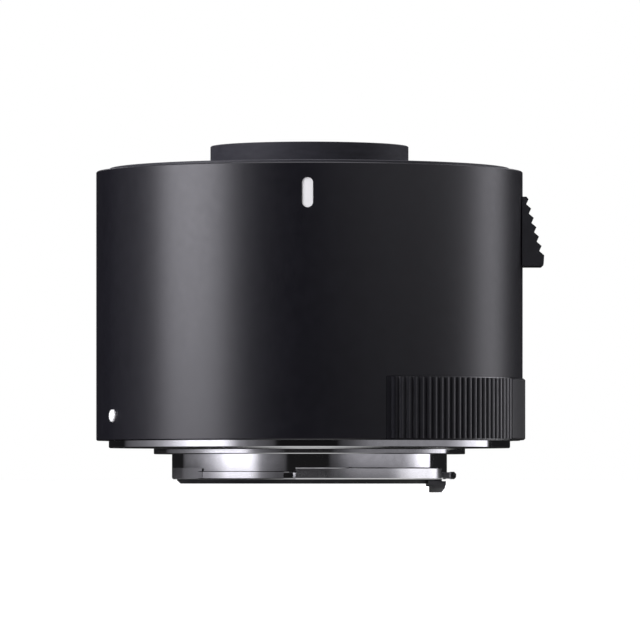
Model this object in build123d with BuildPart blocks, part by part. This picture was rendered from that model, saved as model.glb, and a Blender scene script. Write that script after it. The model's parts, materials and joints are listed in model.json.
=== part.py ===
from build123d import *
import math
import os

# Camera teleconverter. Millimetres. The origin is the centre of the camera-side mounting face,
# +Z runs along the optical axis towards the lens, and -Y is the side with the lens index mark.
# A bearing is an angle about the axis, 0 at the -Y side and growing towards +X.

os.makedirs("parts", exist_ok=True)

# Driving dimensions
barrel_diameter = 70.5
flange_distance = 46.15
barrel_wall = 1.5
well_width = 6.36
chassis_bore_inset = 0.54
chassis_wall = 2.0
tube_stand = 3.71
overrun = 1.0

# The bayonet, the same at both ends, as steps in radius inwards from the barrel
rim_inset = 2.07
flange_width = 7.44
spigot_step = 3.0
spigot_height = 1.0
bayonet_length = 5.15
bayonet_wall = 1.84
lug_reach = 1.46
lug_thickness = 1.95
lug_bearings = ((-5.3, 63.5), (118.0, 170.0), (-150.0, -112.0))
lug_entry_turn = 67.9
lock_bearing = 122.0
lock_pin_gap = 1.7
lock_pin_diameter = 2.2
lock_pin_stand = 1.8
contact_count = 8
contact_spacing = 1.7
contact_row_inset = 2.27
contact_reach = 7.3
lock_pin_sink = 0.5
contact_travel = 0.6

# Screws of the two mounts
screw_bearings = (45.0, 135.0, 225.0, 315.0)
mount_screw_inset = 4.28
mount_screw_radius = 0.9
mount_screw_head_radius = 1.6
mount_screw_length = 4.2
recess_width = 0.4
recess_depth = 0.5
recess_span_share = 1.2

# Fits
sliding_clearance = 0.05
running_clearance = 0.12
seat_clearance = 0.1
cement_gap = 0.02

barrel_radius = barrel_diameter / 2
barrel_bore_radius = barrel_radius - barrel_wall
rim_radius = barrel_radius - rim_inset
spigot_radius = rim_radius - flange_width
bayonet_radius = spigot_radius - spigot_step
mount_bore_radius = bayonet_radius - bayonet_wall
lug_radius = bayonet_radius + lug_reach
tube_radius = bayonet_radius - well_width
chassis_bore_radius = spigot_radius - chassis_bore_inset
waist_radius = chassis_bore_radius + chassis_wall
lock_pin_offset = waist_radius + lock_pin_gap
mount_screw_offset = rim_radius - mount_screw_inset
contact_row_offset = bayonet_radius - contact_row_inset
lock_pin_radius = lock_pin_diameter / 2
bayonet_end = -bayonet_length
lug_top = bayonet_end + lug_thickness
release_travel = lock_pin_stand + lock_pin_sink
quarter = 90.0
match_share = 1e-4


def level(bearing, distance, height, up=True):
    """A level plane at a place round the axis, its x direction along the bearing."""
    turn = math.radians(bearing)
    return Plane(
        origin=(distance * math.sin(turn), -distance * math.cos(turn), height),
        x_dir=(math.sin(turn), -math.cos(turn), 0),
        z_dir=(0, 0, 1 if up else -1),
    )


def facing(bearing, distance, height):
    """A plane square to a bearing and facing outwards, with its y direction up."""
    turn = math.radians(bearing)
    return Plane(
        origin=(distance * math.sin(turn), -distance * math.cos(turn), height),
        x_dir=(math.cos(turn), math.sin(turn), 0),
        z_dir=(math.sin(turn), -math.cos(turn), 0),
    )


def outline(points):
    """Fill a closed outline in the sketch that is open."""
    with BuildLine() as border:
        Polyline(points, close=True)
    make_face(border.edges())


def sector(inner, outer, start, end):
    """Fill the part of a ring between two bearings in the sketch that is open."""
    with BuildLine() as border:
        far = CenterArc((0, 0), outer, start - quarter, end - start)
        near = CenterArc((0, 0), inner, start - quarter, end - start)
        Line(far @ 0, near @ 0)
        Line(far @ 1, near @ 1)
    make_face(border.edges())


def sector_block(inner, outer, start, end, bottom, top, mode=Mode.ADD):
    """Add or cut a ring sector between two heights in the part that is open."""
    with BuildSketch(Plane.XY.offset(bottom)) as plan:
        sector(inner, outer, start, end)
    extrude(plan.sketch, amount=top - bottom, mode=mode)


def turned(points):
    """Turn an outline of radius and height pairs about the axis in the part that is open."""
    with BuildSketch(Plane.XZ) as half:
        outline(points)
    revolve(half.sketch, axis=Axis.Z)


def circles_of(piece, radius):
    """The round edges of a piece that have a given radius."""
    rounds = piece.edges().filter_by(GeomType.CIRCLE)
    return rounds.filter_by(lambda edge: abs(edge.radius - radius) < radius * match_share)


def countersunk_screw(head_radius, shank_radius, length):
    """A countersunk screw with a cross recess, its flat head at the origin, pointing down."""
    with BuildPart() as screw:
        with BuildSketch(Plane.XZ):
            outline(
                [
                    (0, 0),
                    (head_radius, 0),
                    (shank_radius, shank_radius - head_radius),
                    (shank_radius, -length),
                    (0, -length),
                ]
            )
        revolve(axis=Axis.Z)
        with BuildSketch():
            Rectangle(recess_span_share * head_radius, recess_width)
            Rectangle(recess_width, recess_span_share * head_radius)
        extrude(amount=-recess_depth, mode=Mode.SUBTRACT)
    return screw.part


def finish(piece, name):
    """Name a finished piece and write it out."""
    piece.label = name
    export_step(piece, f"parts/{name}.step")


# Camera-side mount: flange, spigot, cylinder and lugs in one chromed piece
rear_flange_height = 1.17
lug_step_height = 1.25
lug_step_turn = 4.7
guide_rim_height = 1.15
guide_rim_lift = 0.1
guide_rim_proud = 0.14
guide_land_bearings = (-72.0, -49.8)
guide_land_height = 1.7
guide_land_proud = 0.2
lug_edge = 0.2
flange_edge = 0.16
spigot_edge = 0.12
bayonet_edge = 0.25
lock_slot_length = 3.4
stop_pin_bearing = 78.0
stop_pin_radius = 0.62
stop_pin_height = -4.52
stop_pin_stand = 0.43
stop_pin_edge = 0.3
stop_pin_head = 1.0
stop_pin_neck_radius = 0.54
stop_pin_seat_wall = 0.7
stop_pin_tip = lug_radius + stop_pin_stand
stop_pin_seat = mount_bore_radius + stop_pin_seat_wall
guide_rim_bottom = bayonet_end + guide_rim_lift

with BuildPart() as camera_side_mount:
    turned(
        [
            (mount_bore_radius, bayonet_end),
            (bayonet_radius - bayonet_edge, bayonet_end),
            (bayonet_radius, bayonet_end + bayonet_edge),
            (bayonet_radius, -spigot_height),
            (spigot_radius - spigot_edge, -spigot_height),
            (spigot_radius, spigot_edge - spigot_height),
            (spigot_radius, 0),
            (rim_radius - flange_edge, 0),
            (rim_radius, flange_edge),
            (rim_radius, rear_flange_height),
            (mount_bore_radius, rear_flange_height),
        ]
    )
    for start, end in lug_bearings:
        sector_block(mount_bore_radius, lug_radius, start, end, bayonet_end, lug_top)
    step_end, step_start = lug_bearings[0][0], lug_bearings[0][0] - lug_step_turn
    sector_block(
        mount_bore_radius, lug_radius, step_start, step_end, bayonet_end, bayonet_end + lug_step_height
    )
    chamfer(circles_of(camera_side_mount, lug_radius), lug_edge)
    sector_block(
        mount_bore_radius,
        bayonet_radius + guide_rim_proud,
        guide_land_bearings[1],
        step_start,
        guide_rim_bottom,
        guide_rim_bottom + guide_rim_height,
    )
    sector_block(
        mount_bore_radius,
        bayonet_radius + guide_land_proud,
        *guide_land_bearings,
        guide_rim_bottom,
        guide_rim_bottom + guide_land_height,
    )
    with Locations(*[level(turn, mount_screw_offset, 0, up=False) for turn in screw_bearings]):
        CounterSinkHole(
            mount_screw_radius + seat_clearance, mount_screw_head_radius + seat_clearance
        )
    with BuildSketch(level(lock_bearing, lock_pin_offset, 0)):
        SlotOverall(lock_slot_length, lock_pin_diameter + 2 * running_clearance)
    extrude(amount=rear_flange_height, mode=Mode.SUBTRACT)
    with BuildSketch(facing(stop_pin_bearing, stop_pin_seat, stop_pin_height)):
        Circle(stop_pin_radius)
    extrude(amount=stop_pin_tip - stop_pin_seat, mode=Mode.SUBTRACT)
finish(camera_side_mount.part, "camera_side_mount")

mount_screw = countersunk_screw(mount_screw_head_radius, mount_screw_radius, mount_screw_length)
with BuildPart() as camera_side_mount_screws:
    with Locations(*[level(turn, mount_screw_offset, 0, up=False) for turn in screw_bearings]):
        add(mount_screw)
finish(camera_side_mount_screws.part, "camera_side_mount_screws")

# Stop pin of the bayonet, pressed into the cylinder wall
with BuildPart() as bayonet_stop_pin:
    with BuildSketch(facing(stop_pin_bearing, stop_pin_seat, stop_pin_height)):
        Circle(stop_pin_radius)
    extrude(amount=bayonet_radius - stop_pin_seat)
    with BuildSketch(facing(stop_pin_bearing, bayonet_radius, stop_pin_height)):
        Circle(stop_pin_neck_radius)
    extrude(amount=stop_pin_tip - stop_pin_head - bayonet_radius)
    with BuildSketch(facing(stop_pin_bearing, stop_pin_tip - stop_pin_head, stop_pin_height)):
        Circle(stop_pin_radius)
    extrude(amount=stop_pin_head)
    tip_face = bayonet_stop_pin.faces().sort_by(Axis((0, 0, 0), facing(stop_pin_bearing, 0, 0).z_dir))[-1]
    chamfer(tip_face.edges(), stop_pin_edge)
finish(bayonet_stop_pin.part, "bayonet_stop_pin")

# Rear cover ring, a neck in the bayonet bore and a lip over its end
cover_height = 0.72
cover_inset = 0.84
cover_taper = 0.56
cover_width = 1.9
cover_neck_height = 3.65
block_wall_inset = 0.53
block_step = 0.5
block_step_height = 0.97
cover_radius = bayonet_radius - cover_inset
cover_bore_radius = mount_bore_radius - cover_width
block_wall_offset = contact_row_offset - block_wall_inset
block_step_offset = block_wall_offset - block_step
cover_end = bayonet_end - cover_height
cover_neck_radius = mount_bore_radius - sliding_clearance
neck_top = bayonet_end + cover_neck_height

with BuildPart() as rear_cover_ring:
    turned(
        [
            (cover_bore_radius, cover_end),
            (cover_radius - cover_taper, cover_end),
            (cover_radius, cover_end + cover_taper),
            (cover_radius, bayonet_end),
            (cover_neck_radius, bayonet_end),
            (cover_neck_radius, neck_top),
            (cover_bore_radius, neck_top),
        ]
    )
    with BuildSketch(Plane.XY.offset(cover_end)):
        with Locations((block_step_offset - sliding_clearance, 0)):
            Rectangle(cover_radius, 2 * cover_radius, align=(Align.MIN, Align.CENTER))
    extrude(amount=cover_height + cover_neck_height, mode=Mode.SUBTRACT)
finish(rear_cover_ring.part, "rear_cover_ring")

# Rear contact block, a segment of a turned ring with a stepped flat inner wall
block_inset = 0.17
block_foot_taper = 0.7
block_shoulder = 0.3
block_shoulder_height = 0.5
block_bulge_share = 0.45
pad_radius = 0.42
pad_thickness = 0.4
block_radius = bayonet_radius - block_inset
block_foot_radius = block_radius - block_foot_taper
block_end = -contact_reach
block_top = bayonet_end - block_shoulder
block_waist = block_top - block_shoulder_height
block_bulge_height = (block_waist + block_end) / 2
block_bulge_radius = block_radius - block_bulge_share * (block_radius - block_foot_radius) / 2
contact_row = [
    (contact_row_offset, (place - (contact_count - 1) / 2) * contact_spacing)
    for place in range(contact_count)
]

with BuildPart() as rear_contact_block:
    turned(
        [
            (cover_bore_radius, block_end),
            (block_foot_radius, block_end),
            (block_bulge_radius, block_bulge_height),
            (block_radius, block_waist),
            (block_radius, block_top),
            (cover_radius, block_top),
            (cover_radius, bayonet_end),
            (cover_neck_radius, bayonet_end),
            (cover_neck_radius, neck_top),
            (cover_bore_radius, neck_top),
        ]
    )
    with BuildSketch(Plane.XZ):
        outline(
            [
                (block_wall_offset, block_end),
                (block_radius, block_end),
                (block_radius, neck_top),
                (block_step_offset, neck_top),
                (block_step_offset, block_end + block_step_height),
                (block_wall_offset, block_end + block_step_height),
            ]
        )
    extrude(amount=block_radius, both=True, mode=Mode.INTERSECT)
    with BuildSketch(Plane.XY.offset(block_end)):
        with Locations(*contact_row):
            Circle(pad_radius)
    extrude(amount=pad_thickness, mode=Mode.SUBTRACT)
finish(rear_contact_block.part, "rear_contact_block")

with BuildPart() as rear_contact_pads:
    with BuildSketch(Plane.XY.offset(block_end)):
        with Locations(*contact_row):
            Circle(pad_radius)
    extrude(amount=pad_thickness)
finish(rear_contact_pads.part, "rear_contact_pads")

# Light baffle on the neck of the cover ring
baffle_thickness = 0.7
baffle_side = 5.5
baffle_end = 8.5
baffle_window_corner = 2.0
baffle_flat_gap = 0.24
baffle_window_width = 2 * (cover_bore_radius - baffle_side)
baffle_window_height = 2 * (cover_bore_radius - baffle_end)
baffle_flat_offset = block_step_offset - baffle_flat_gap

with BuildPart() as rear_light_baffle:
    with BuildSketch(Plane.XY.offset(neck_top)):
        Circle(cover_neck_radius)
        with Locations((baffle_flat_offset, 0)):
            Rectangle(
                cover_radius, 2 * cover_radius, align=(Align.MIN, Align.CENTER), mode=Mode.SUBTRACT
            )
        RectangleRounded(
            baffle_window_width, baffle_window_height, baffle_window_corner, mode=Mode.SUBTRACT
        )
    extrude(amount=baffle_thickness)
finish(rear_light_baffle.part, "rear_light_baffle")

# Levels of the release and of the contact well, measured down from the lens-side face
stem_drop = 12.75
stem_height = 5.2
stem_half_width = 3.2
liner_drop = 10.0
liner_floor_thickness = 0.9
block_hang = 2.8
stem_bottom = flange_distance - stem_drop
stem_top = stem_bottom + stem_height
liner_ledge_top = flange_distance - liner_drop
liner_floor = liner_ledge_top + liner_floor_thickness
block_bottom = liner_ledge_top - block_hang

# Heights of the two ends of the casing
seam = 0.05
barrel_top_drop = 0.53
barrel_foot = rear_flange_height + seam
barrel_top = flange_distance - barrel_top_drop
mount_flange_height = 1.6
rim_ring_drop = 0.02
claw_drop = 1.1
claw_thickness = 1.9
throat_clearance = 0.16
recess_clearance = 0.5
gap_clearance = 0.3
mount_skirt_wall = 0.66
mount_skirt_length = 5.6
rim_ring_width = 1.68
front_mount_edge = 0.2
rim_ring_foot = 0.9
rim_ring_foot_height = 0.6
rim_ring_edge = 0.13
mount_skirt_radius = spigot_radius + mount_skirt_wall
front_mount_radius = rim_radius - rim_ring_width
flange_underside = flange_distance - mount_flange_height
claw_top = flange_distance - claw_drop
claw_back = claw_top - claw_thickness
skirt_end = flange_distance - mount_skirt_length
throat_radius = bayonet_radius + throat_clearance
recess_radius = lug_radius + recess_clearance
gap_radius = lug_radius + gap_clearance
counterbore_radius = spigot_radius + sliding_clearance
foot_radius = front_mount_radius - rim_ring_foot
foot_top = flange_underside + rim_ring_foot_height

# Lens-side mount, with three claws whose gaps let the lugs of a lens in
gap_margin_turn = 1.6

with BuildPart() as lens_side_mount:
    turned(
        [
            (throat_radius, claw_back),
            (throat_radius, claw_top),
            (counterbore_radius, claw_top),
            (counterbore_radius, flange_distance),
            (front_mount_radius - front_mount_edge, flange_distance),
            (front_mount_radius, flange_distance - front_mount_edge),
            (front_mount_radius, foot_top),
            (foot_radius, foot_top),
            (foot_radius, flange_underside),
            (mount_skirt_radius, flange_underside),
            (mount_skirt_radius, skirt_end),
            (recess_radius, skirt_end),
            (recess_radius, claw_back),
        ]
    )
    for start, end in lug_bearings:
        gap_start = start + lug_entry_turn - gap_margin_turn
        gap_end = end + lug_entry_turn + gap_margin_turn
        sector_block(
            throat_radius - overrun, gap_radius, gap_start, gap_end, claw_back, claw_top, Mode.SUBTRACT
        )
    with Locations(*[level(turn, mount_screw_offset, flange_distance) for turn in screw_bearings]):
        CounterSinkHole(
            mount_screw_radius + seat_clearance, mount_screw_head_radius + seat_clearance
        )
    with Locations(level(lock_bearing, lock_pin_offset, flange_distance)):
        Hole(lock_pin_radius + sliding_clearance)
finish(lens_side_mount.part, "lens_side_mount")

with BuildPart() as lens_side_mount_screws:
    with Locations(*[level(turn, mount_screw_offset, flange_distance) for turn in screw_bearings]):
        add(mount_screw)
finish(lens_side_mount_screws.part, "lens_side_mount_screws")

# Leaf springs under the claws, each a flat foot and a leaf bent down from it
leaf_thickness = 0.22
leaf_width = 1.5
leaf_turn = 17.0
leaf_foot_turn = 12.0
leaf_drop = 0.45
leaf_outer = recess_radius - seat_clearance
leaf_inner = leaf_outer - leaf_width
leaf_length = leaf_outer * math.sin(math.radians(leaf_turn))
leaf_foot_length = leaf_outer * math.sin(math.radians(leaf_foot_turn))


def leaf_spring(hinge):
    """One leaf, its flat foot before the hinge bearing and its free end bent down after it."""
    with BuildPart() as leaf:
        with BuildSketch(facing(hinge, 0, claw_back)):
            outline(
                [
                    (-leaf_foot_length, 0),
                    (0, 0),
                    (leaf_length, -leaf_drop),
                    (leaf_length, -leaf_drop - leaf_thickness),
                    (0, -leaf_thickness),
                    (-leaf_foot_length, -leaf_thickness),
                ]
            )
        extrude(amount=leaf_outer + overrun)
        with BuildSketch(Plane.XY.offset(claw_back - leaf_drop - leaf_thickness)):
            Circle(leaf_outer)
            Circle(leaf_inner, mode=Mode.SUBTRACT)
        extrude(amount=leaf_drop + leaf_thickness, mode=Mode.INTERSECT)
    return leaf.part


with BuildPart() as bayonet_spring:
    for start, end in lug_bearings:
        add(leaf_spring(start + lug_entry_turn - gap_margin_turn - leaf_turn))
finish(bayonet_spring.part, "bayonet_spring")

# Black ring round the lens-side mount, clamped under its flange
with BuildPart() as front_rim_ring:
    turned(
        [
            (foot_radius, flange_underside),
            (rim_radius, flange_underside),
            (rim_radius, flange_distance - rim_ring_drop - rim_ring_edge),
            (rim_radius - rim_ring_edge, flange_distance - rim_ring_drop),
            (front_mount_radius + seat_clearance, flange_distance - rim_ring_drop),
            (front_mount_radius + seat_clearance, foot_top),
            (foot_radius, foot_top),
        ]
    )
finish(front_rim_ring.part, "front_rim_ring")

# Outer barrel, a tube with two inner lips, a slot for the lever and seats for grip and marks
barrel_edge = 0.15
lip_width = 1.75
lip_height = 1.2
chassis_flange_height = 3.7
lever_slot_gap = 0.4
lever_slot_side_gap = 0.3
grip_bearings = (20.4, 159.5)
grip_foot_gap = 0.1
grip_height = 10.14
grip_seat_depth = 0.45
grip_corner = 0.3
grip_margin = 0.05
index_bearing = -0.5
index_width = 1.77
index_height = 4.83
index_drop = 5.39
index_seat_depth = 0.4
index_recess = 0.12
dot_bearing = -65.5
dot_radius = 1.09
dot_height = 5.2
dot_stand = 0.36
dot_seat_depth = 0.8
lip_radius = barrel_bore_radius - lip_width
chassis_flange_top = rear_flange_height + chassis_flange_height
lower_lip_bottom = chassis_flange_top + seam
lever_slot_width = 2 * (stem_half_width + lever_slot_side_gap)
lever_slot_top = stem_top + lever_slot_gap
lever_slot_bottom = stem_bottom - release_travel - lever_slot_gap
grip_bottom = barrel_foot + grip_foot_gap
grip_top = grip_bottom + grip_height
index_middle = flange_distance - index_drop
grip_seat_radius = barrel_radius - grip_seat_depth
index_seat_radius = barrel_radius - index_seat_depth


def pad_shell(inner, outer, start, end, bottom, top, corner):
    """A bent pad between two bearings with its four corners rounded."""
    with BuildPart() as pad:
        sector_block(inner, outer, start, end, bottom, top)
        depth = outer - inner
        ends = pad.edges().filter_by(lambda edge: abs(edge.length - depth) < depth * match_share)
        fillet(ends, corner)
    return pad.part


def index_body(radius, skin):
    """The long rounded mark as a block that follows the barrel, down from a radius."""
    with BuildPart() as mark:
        with BuildSketch(facing(index_bearing, index_seat_radius - overrun, index_middle)):
            SlotOverall(index_height, index_width, rotation=quarter)
        extrude(amount=barrel_wall + overrun)
        with BuildSketch(Plane.XY.offset(index_middle - index_height)):
            Circle(radius)
            Circle(radius - skin, mode=Mode.SUBTRACT)
        extrude(amount=2 * index_height, mode=Mode.INTERSECT)
    return mark.part


with BuildPart() as outer_barrel:
    turned(
        [
            (barrel_bore_radius, barrel_foot),
            (barrel_radius - barrel_edge, barrel_foot),
            (barrel_radius, barrel_foot + barrel_edge),
            (barrel_radius, barrel_top - barrel_edge),
            (barrel_radius - barrel_edge, barrel_top),
            (rim_radius + seat_clearance, barrel_top),
            (rim_radius + seat_clearance, flange_underside),
            (lip_radius, flange_underside),
            (lip_radius, flange_underside - lip_height),
            (barrel_bore_radius, flange_underside - lip_height),
            (barrel_bore_radius, lower_lip_bottom + lip_height),
            (lip_radius, lower_lip_bottom + lip_height),
            (lip_radius, lower_lip_bottom),
            (barrel_bore_radius, lower_lip_bottom),
        ]
    )
    add(
        pad_shell(
            grip_seat_radius,
            barrel_radius + overrun,
            *grip_bearings,
            barrel_foot - overrun,
            grip_top + grip_margin,
            grip_corner,
        ),
        mode=Mode.SUBTRACT,
    )
    add(index_body(barrel_radius + overrun, index_seat_depth + overrun), mode=Mode.SUBTRACT)
    with BuildSketch(facing(dot_bearing, barrel_radius - dot_seat_depth, dot_height)):
        Circle(dot_radius)
    extrude(amount=barrel_wall, mode=Mode.SUBTRACT)
    with BuildSketch(facing(quarter, lip_radius, (lever_slot_top + lever_slot_bottom) / 2)):
        Rectangle(lever_slot_width, lever_slot_top - lever_slot_bottom)
    extrude(amount=barrel_radius, mode=Mode.SUBTRACT)
finish(outer_barrel.part, "outer_barrel")

# Grip, with a smooth land proud of the barrel between two runs of round ribs on a flush base
grip_stand = 0.44
grip_rib_turn = 2.04
grip_rib_count = 23
grip_rib_radius = 0.4
grip_rib_margin = 0.14
grip_side_turn = 2.1
grip_edge = 0.25
grip_radius = barrel_radius + grip_stand
rib_bottom = grip_bottom + grip_rib_margin
rib_top = grip_top - grip_rib_margin
rib_bearings = [
    grip_bearings[0] + grip_side_turn + place * grip_rib_turn for place in range(grip_rib_count)
]
rib_runs = [(rib_bearings[0] - 2 * grip_side_turn, rib_bearings[-1] + grip_rib_turn / 2)]
mirror_sum = grip_bearings[0] + grip_bearings[1]
rib_bearings += [mirror_sum - turn for turn in rib_bearings]
rib_runs.append((mirror_sum - rib_runs[0][1], mirror_sum - rib_runs[0][0]))

with BuildPart() as grip_pad:
    add(
        pad_shell(
            grip_seat_radius,
            grip_radius,
            grip_bearings[0] + math.degrees(grip_margin / grip_radius),
            grip_bearings[1] - math.degrees(grip_margin / grip_radius),
            grip_bottom,
            grip_top,
            grip_corner,
        )
    )
    chamfer(grip_pad.faces().sort_by(SortBy.AREA)[-1].edges(), grip_edge)
    for start, end in rib_runs:
        sector_block(
            barrel_radius,
            grip_radius + overrun,
            start,
            end,
            grip_bottom - overrun,
            grip_top + overrun,
            Mode.SUBTRACT,
        )
    with BuildSketch(Plane.XY.offset(rib_bottom)):
        for turn in rib_bearings:
            with Locations(level(turn, grip_radius - grip_rib_radius, 0).location):
                Circle(grip_rib_radius)
    extrude(amount=rib_top - rib_bottom)
finish(grip_pad.part, "grip_pad")

# Marks
with BuildPart() as lens_index_mark:
    add(index_body(barrel_radius - index_recess, index_seat_depth - index_recess))
finish(lens_index_mark.part, "lens_index_mark")

with BuildPart() as body_index_mark:
    with BuildSketch(facing(dot_bearing, barrel_radius - dot_seat_depth, dot_height)):
        Circle(dot_radius - grip_margin)
    extrude(amount=dot_seat_depth + dot_stand)
    crown = body_index_mark.faces().sort_by(Axis((0, 0, 0), facing(dot_bearing, 0, 0).z_dir))[-1]
    fillet(crown.edges(), dot_stand)
finish(body_index_mark.part, "body_index_mark")

# Main chassis, the casting that carries both mounts, the lens tube and the electronics
tube_ledge_width = 4.0
tube_ledge_bottom = 20.0
tube_ledge_height = 2.5
tube_flange_height = 2.4
tube_screw_bearings = (30.0, 150.0, 270.0)
tube_screw_inset = 2.1
tube_screw_radius = 0.65
tube_screw_head_radius = 1.2
tube_screw_length = 4.0
liner_ledge_width = 1.6
liner_ledge_height = 1.2
slider_thickness = 1.4
slider_start_bearing = 82.0
slider_wide_bearing = 98.0
slider_end_bearing = 126.0
slider_top_gap = 0.3
arm_height = 1.6
spring_bearing = 108.0
spring_half_turn = 3.2
spring_gap = 0.6
spring_side = 0.8
spring_rod_radius = 0.6
spring_wire_radius = 0.2
spring_coil_radius = 1.0
spring_length = 8.0
spring_tab_drop = 2.5
spring_boss_height = 3.0
board_bottom = 7.0
board_thickness = 1.0
board_post_radius = 1.5
board_inset = 1.95
board_post_inset = 1.8
board_post_bearings = (95.0, 180.0, 265.0)
flex_thickness = 0.2
front_flex_bearings = (74.0, 86.0)
rear_flex_bearings = (94.0, 106.0)
flex_window_turn = 2.0
flex_window_height = 1.6
rear_flex_run = 9.6
tube_ledge_radius = chassis_bore_radius - tube_ledge_width
tube_screw_offset = chassis_bore_radius - tube_screw_inset
liner_ledge_radius = chassis_bore_radius - liner_ledge_width
board_radius = barrel_bore_radius - board_inset
board_post_offset = board_radius - board_post_inset
chassis_rear_radius = barrel_bore_radius - seat_clearance
chassis_front_radius = lip_radius - seat_clearance
arm_top = skirt_end - slider_top_gap
arm_bottom = arm_top - arm_height
spring_top = arm_bottom - spring_tab_drop
spring_bottom = spring_top - spring_length
spring_offset = waist_radius + spring_gap + spring_coil_radius + spring_wire_radius
slider_inner_radius = spring_offset + spring_side
slider_outer_radius = slider_inner_radius + slider_thickness
front_flex_run = block_bottom - flex_thickness
chassis_shelf_radius = mount_skirt_radius + sliding_clearance
tube_ledge_top = tube_ledge_bottom + tube_ledge_height
board_top = board_bottom + board_thickness

with BuildPart() as main_chassis:
    turned(
        [
            (chassis_bore_radius, rear_flange_height),
            (chassis_rear_radius, rear_flange_height),
            (chassis_rear_radius, chassis_flange_top),
            (waist_radius, chassis_flange_top),
            (waist_radius, skirt_end),
            (chassis_front_radius, skirt_end),
            (chassis_front_radius, flange_underside),
            (chassis_shelf_radius, flange_underside),
            (chassis_shelf_radius, skirt_end),
            (chassis_bore_radius, skirt_end),
            (chassis_bore_radius, liner_ledge_top),
            (liner_ledge_radius, liner_ledge_top),
            (liner_ledge_radius, liner_ledge_top - liner_ledge_height),
            (chassis_bore_radius, liner_ledge_top - liner_ledge_height),
            (chassis_bore_radius, tube_ledge_top),
            (tube_ledge_radius, tube_ledge_top),
            (tube_ledge_radius, tube_ledge_bottom),
            (chassis_bore_radius, tube_ledge_bottom),
        ]
    )
    sector_block(
        waist_radius - chassis_wall / 2,
        slider_outer_radius,
        spring_bearing - spring_half_turn,
        spring_bearing + spring_half_turn,
        spring_bottom - spring_boss_height,
        spring_bottom,
    )
    with BuildSketch(Plane.XY.offset(chassis_flange_top)):
        with Locations(*[level(turn, board_post_offset, 0).location for turn in board_post_bearings]):
            Circle(board_post_radius)
    extrude(amount=board_bottom - chassis_flange_top)
    for (start, end), run in ((front_flex_bearings, front_flex_run), (rear_flex_bearings, rear_flex_run)):
        middle = run + flex_thickness / 2
        sector_block(
            liner_ledge_radius + seat_clearance,
            waist_radius + chassis_wall / 2,
            start - flex_window_turn,
            end + flex_window_turn,
            middle - flex_window_height / 2,
            middle + flex_window_height / 2,
            Mode.SUBTRACT,
        )
    with Locations(level(lock_bearing, lock_pin_offset, flange_underside)):
        Hole(lock_pin_radius + 2 * running_clearance, depth=mount_skirt_length)
    with Locations(*[level(turn, mount_screw_offset, flange_underside) for turn in screw_bearings]):
        Hole(mount_screw_radius, depth=mount_screw_length)
    with Locations(
        *[level(turn, mount_screw_offset, rear_flange_height, up=False) for turn in screw_bearings]
    ):
        Hole(mount_screw_radius, depth=mount_screw_length - rear_flange_height)
    with Locations(
        *[level(turn, tube_screw_offset, tube_ledge_bottom, up=False) for turn in tube_screw_bearings]
    ):
        Hole(tube_screw_radius, depth=tube_screw_length - tube_flange_height)
    with Locations(level(spring_bearing, spring_offset, spring_bottom)):
        Hole(spring_rod_radius, depth=spring_boss_height)
finish(main_chassis.part, "main_chassis")

# Lens release: slider, pin, spring and the stepped lever outside
slider_stem_margin = 0.2
arm_margin = 1.3
spring_tab_height = 1.2
rod_stand = 1.4
arm_half_turn = 4.0
lever_screw_turn = 3.75
lever_screw_head_radius = 1.05
lever_screw_radius = 0.6
lever_screw_length = 4.2
arm_inner_radius = lock_pin_offset - arm_margin
lever_screw_height = (stem_bottom + stem_top) / 2
lever_screw_places = []
for side in (-lever_screw_turn, lever_screw_turn):
    outward = facing(quarter + side, slider_inner_radius, lever_screw_height)
    lever_screw_places.append(Plane(outward.origin, x_dir=outward.x_dir, z_dir=-outward.z_dir))

with BuildPart() as lock_slider:
    sector_block(
        slider_inner_radius,
        slider_outer_radius,
        slider_start_bearing,
        slider_wide_bearing,
        stem_bottom - slider_stem_margin,
        arm_top,
    )
    sector_block(
        slider_inner_radius, slider_outer_radius, slider_wide_bearing, slider_end_bearing, spring_top, arm_top
    )
    sector_block(
        arm_inner_radius,
        slider_outer_radius,
        lock_bearing - arm_half_turn,
        lock_bearing + arm_half_turn,
        arm_bottom,
        arm_top,
    )
    sector_block(
        arm_inner_radius,
        slider_outer_radius,
        spring_bearing - spring_half_turn,
        spring_bearing + spring_half_turn,
        spring_top,
        spring_top + spring_tab_height,
    )
    with Locations(level(lock_bearing, lock_pin_offset, arm_top)):
        Hole(lock_pin_radius, depth=arm_height)
    with Locations(level(spring_bearing, spring_offset, spring_top + spring_tab_height)):
        Hole(spring_rod_radius + sliding_clearance, depth=spring_tab_height)
    with Locations(*lever_screw_places):
        CounterSinkHole(
            lever_screw_radius + sliding_clearance,
            lever_screw_head_radius + sliding_clearance,
            2 * slider_thickness,
        )
finish(lock_slider.part, "lock_slider")

lock_pin_edge = 0.35
with BuildPart() as lock_pin:
    with BuildSketch(level(lock_bearing, lock_pin_offset, arm_bottom)):
        Circle(lock_pin_radius)
    extrude(amount=flange_distance + lock_pin_stand - arm_bottom)
    chamfer(lock_pin.faces().sort_by(Axis.Z)[-1].edges(), lock_pin_edge)
finish(lock_pin.part, "lock_pin")

with BuildPart() as spring_guide_rod:
    with BuildSketch(level(spring_bearing, spring_offset, spring_bottom - spring_boss_height)):
        Circle(spring_rod_radius)
    extrude(amount=spring_boss_height + spring_top - spring_bottom + rod_stand)
finish(spring_guide_rod.part, "spring_guide_rod")

with BuildPart() as lock_spring:
    with BuildSketch(level(spring_bearing, spring_offset, spring_bottom)):
        Circle(spring_coil_radius + spring_wire_radius)
        Circle(spring_coil_radius - spring_wire_radius, mode=Mode.SUBTRACT)
    extrude(amount=spring_top - spring_bottom)
finish(lock_spring.part, "lock_spring")

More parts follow.
